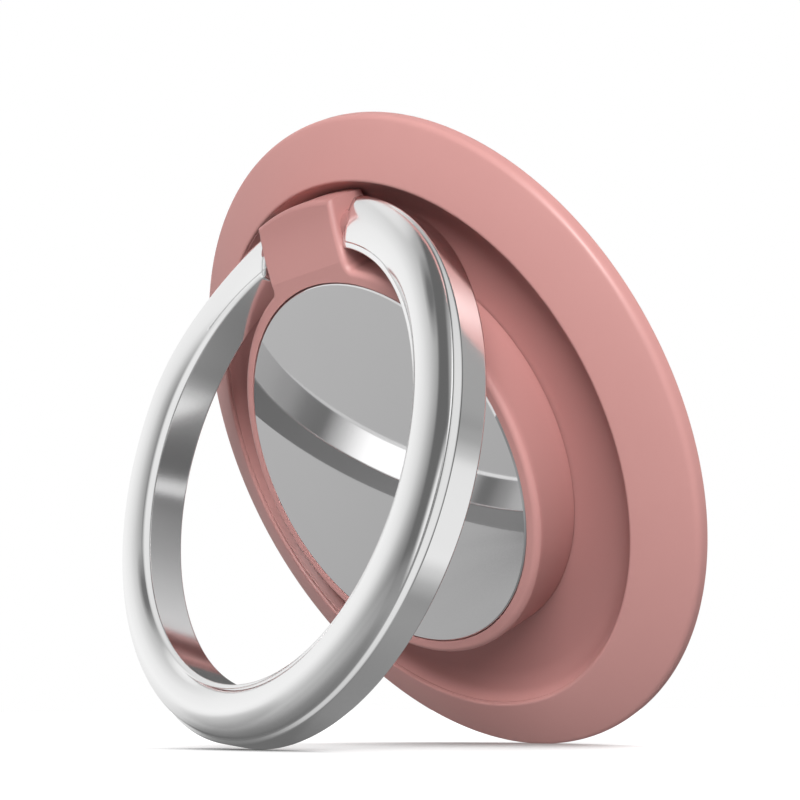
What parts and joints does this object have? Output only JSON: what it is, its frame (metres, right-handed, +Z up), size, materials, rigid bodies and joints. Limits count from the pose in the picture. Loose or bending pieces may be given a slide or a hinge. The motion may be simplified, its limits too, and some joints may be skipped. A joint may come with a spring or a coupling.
{
  "type": "phone ring holder",
  "caption": "Round stick-on phone holder with a turning hub and a folding finger ring that props the phone or holds a finger.",
  "frame": {"origin": "centre of the footprint on the table, under the standing holder", "axes": "+X along the hinge pin, +Z up, -Y towards the side where the ring stands"},
  "size_m": [0.038, 0.0228, 0.0341],
  "materials": {
    "rose_metal": "satin rose plated alloy",
    "mirror_plate": "polished steel",
    "bright_ring": "polished silver plating",
    "steel": "plain",
    "nylon": "natural",
    "tape": "matt",
    "foam_pad": "matt closed-cell foam"
  },
  "bodies": {
    "base": {"base_dish": "rose_metal", "adhesive_pad": "foam_pad"},
    "hub": {"rotor_hub": "rose_metal", "face_plate": "mirror_plate", "plate_tape": "tape", "slip_washer": "nylon", "swivel_rivet": "steel", "spring_washer": "steel", "hinge_bush": "nylon", "hinge_washers": "nylon"},
    "ring": {"finger_ring": "bright_ring", "hinge_pin": "steel"}
  },
  "joints": [
    {"name": "hub_spin", "type": "hinge", "parent": "base", "child": "hub", "pos_m": [0, 0.00109, 0.01631], "axis": [0, -0.8931, -0.4499], "continuous": true},
    {"name": "ring_fold", "type": "hinge", "parent": "hub", "child": "ring", "pos_m": [0, -0.00516, 0.02749], "axis": [-1, 0, 0], "range_deg": [-36.5, 108]}
  ]
}
